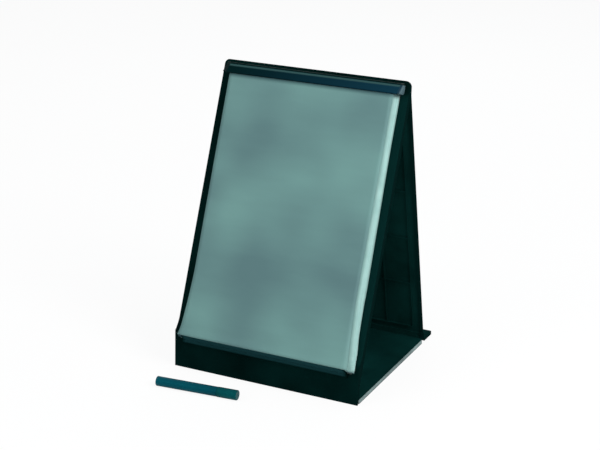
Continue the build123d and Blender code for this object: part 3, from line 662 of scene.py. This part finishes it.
def cap_mesh(side):
    """One cap, its outer edge rounded."""
    outline = cap_outline()
    count = len(outline)
    middle = (sum(p[0] for p in outline) / count, sum(p[1] for p in outline) / count)
    rings = ((CAP_START, 0.0), (CAP_END - CAP_ROUND, 0.0), (CAP_END, CAP_ROUND))
    points = []
    for across, inset in rings:
        for along, out in outline:
            shrink = 1 - inset / hypot(along - middle[0], out - middle[1])
            place = (middle[0] + (along - middle[0]) * shrink, middle[1] + (out - middle[1]) * shrink)
            points.append(board_point(side * across, *place))
    faces = []
    for ring in range(len(rings) - 1):
        for i in range(count):
            a = ring * count + i
            b = ring * count + (i + 1) % count
            faces.append((a, b, b + count, a + count))
    last = (len(rings) - 1) * count
    faces.append(tuple(reversed(range(count))))
    faces.append(tuple(range(last, last + count)))
    if side > 0:
        faces = [tuple(reversed(face)) for face in faces]
    return points, faces


points, faces = joined(cap_mesh(side) for side in (-1, 1))
end_caps = mesh_object("deep_end_caps", points, faces, clamp_end, smooth=False)
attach(end_caps, "clamp")
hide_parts("clamp_end_caps")


# Camera, from the fit to the photograph's straight edges
YAW = -0.4669
PITCH = 0.3506
DISTANCE = 2529.2793 * MM
FOCAL_PIXELS = 1553.3172
PHOTO_WIDTH = 600
PHOTO_HEIGHT = 450
TARGET_PIXEL = (302.9305, 229.0073)
TARGET_BEHIND = 140.0 * MM
TARGET_HEIGHT = 220.0 * MM
SENSOR = 36.0
target = Vector((0.0, fascia_y + TARGET_BEHIND, TARGET_HEIGHT))
ahead = Vector((sin(YAW) * cos(PITCH), cos(YAW) * cos(PITCH), -sin(PITCH)))
right = Vector((cos(YAW), -sin(YAW), 0.0))
up = right.cross(ahead)
per_pixel = DISTANCE / FOCAL_PIXELS
sideways = right * (TARGET_PIXEL[0] - PHOTO_WIDTH / 2) * per_pixel
upwards = up * (TARGET_PIXEL[1] - PHOTO_HEIGHT / 2) * per_pixel
camera_data = bpy.data.cameras.new("camera")
camera_data.lens = FOCAL_PIXELS / PHOTO_WIDTH * SENSOR
camera_data.sensor_width = SENSOR
camera = bpy.data.objects.new("camera", camera_data)
camera.matrix_world = Matrix((right, up, -ahead)).transposed().to_4x4()
camera.location = target - ahead * DISTANCE - sideways + upwards
bpy.context.scene.collection.objects.link(camera)
bpy.context.scene.camera = camera


# Floor and surroundings, pale to the eye, with the object's shadow on the floor
FLOOR_REACH = 6.0
FLOOR_WHITE = (0.93, 0.93, 0.93)
FLOOR_SHADE = 0.985
FLOOR_GLOW = 0.9


def floor_material():
    """Matt white, which glows for the camera only."""
    material, graph = new_material("floor_white")
    inputs = graph.shader.inputs
    shade = tuple(channel * FLOOR_SHADE for channel in FLOOR_WHITE)
    tone = graph.span(graph.grain(scale=3.0, detail=3), 0.3, 0.7)
    graph.feed(inputs["Base Color"], graph.blend(tone, shade, FLOOR_WHITE))
    inputs["Roughness"].default_value = 0.9
    inputs["Specular IOR Level"].default_value = 0.0
    light = graph.add("ShaderNodeEmission")
    seen = graph.add("ShaderNodeLightPath").outputs["Is Camera Ray"]
    mix = graph.add("ShaderNodeMixShader")
    graph.feed(mix.inputs[0], graph.math("MULTIPLY", seen, FLOOR_GLOW))
    graph.feed(mix.inputs[1], graph.shader.outputs["BSDF"])
    graph.feed(mix.inputs[2], light.outputs["Emission"])
    graph.feed(graph.tree.nodes["Material Output"].inputs["Surface"], mix.outputs["Shader"])
    return material


corners = [(-1, -1), (1, -1), (1, 1), (-1, 1)]
points = [(x * FLOOR_REACH, y * FLOOR_REACH, 0) for x, y in corners]
floor = mesh_object("floor", points, [(0, 1, 2, 3)], floor_material(), smooth=False)

world = bpy.data.worlds.new("studio")
bpy.context.scene.world = world
world.use_nodes = True
sky = world.node_tree
soft = sky.nodes["Background"]
soft.inputs["Color"].default_value = (0.93, 0.97, 1.0, 1)
soft.inputs["Strength"].default_value = 0.55
white = sky.nodes.new("ShaderNodeBackground")
white.inputs["Color"].default_value = (1, 1, 1, 1)
white.inputs["Strength"].default_value = 1.0
path = sky.nodes.new("ShaderNodeLightPath")
seen = sky.nodes.new("ShaderNodeMath")
seen.operation = "MAXIMUM"
sky.links.new(path.outputs["Is Camera Ray"], seen.inputs[0])
sky.links.new(path.outputs["Is Transmission Ray"], seen.inputs[1])
choose = sky.nodes.new("ShaderNodeMixShader")
sky.links.new(seen.outputs["Value"], choose.inputs[0])
sky.links.new(soft.outputs["Background"], choose.inputs[1])
sky.links.new(white.outputs["Background"], choose.inputs[2])
sky.links.new(choose.outputs["Shader"], sky.nodes["World Output"].inputs["Surface"])


def softbox(name, place, size, power):
    """A square area lamp that faces the object's middle."""
    lamp = bpy.data.lights.new(name, "AREA")
    lamp.shape = "SQUARE"
    lamp.size = size
    lamp.energy = power
    lamp_object = bpy.data.objects.new(name, lamp)
    lamp_object.location = place
    facing = CENTRE - Vector(place)
    lamp_object.rotation_mode = "QUATERNION"
    lamp_object.rotation_quaternion = facing.to_track_quat("-Z", "Y")
    bpy.context.scene.collection.objects.link(lamp_object)


CENTRE = Vector((0.0, 0.0, 0.22))
softbox("key", (1.7, -0.5, 1.6), size=1.0, power=34.0)
softbox("front_fill", (-1.2, -1.9, 1.5), size=1.6, power=16.0)
softbox("back_fill", (-0.6, 2.0, 1.7), size=1.4, power=12.0)

bpy.context.scene.view_settings.view_transform = "Standard"
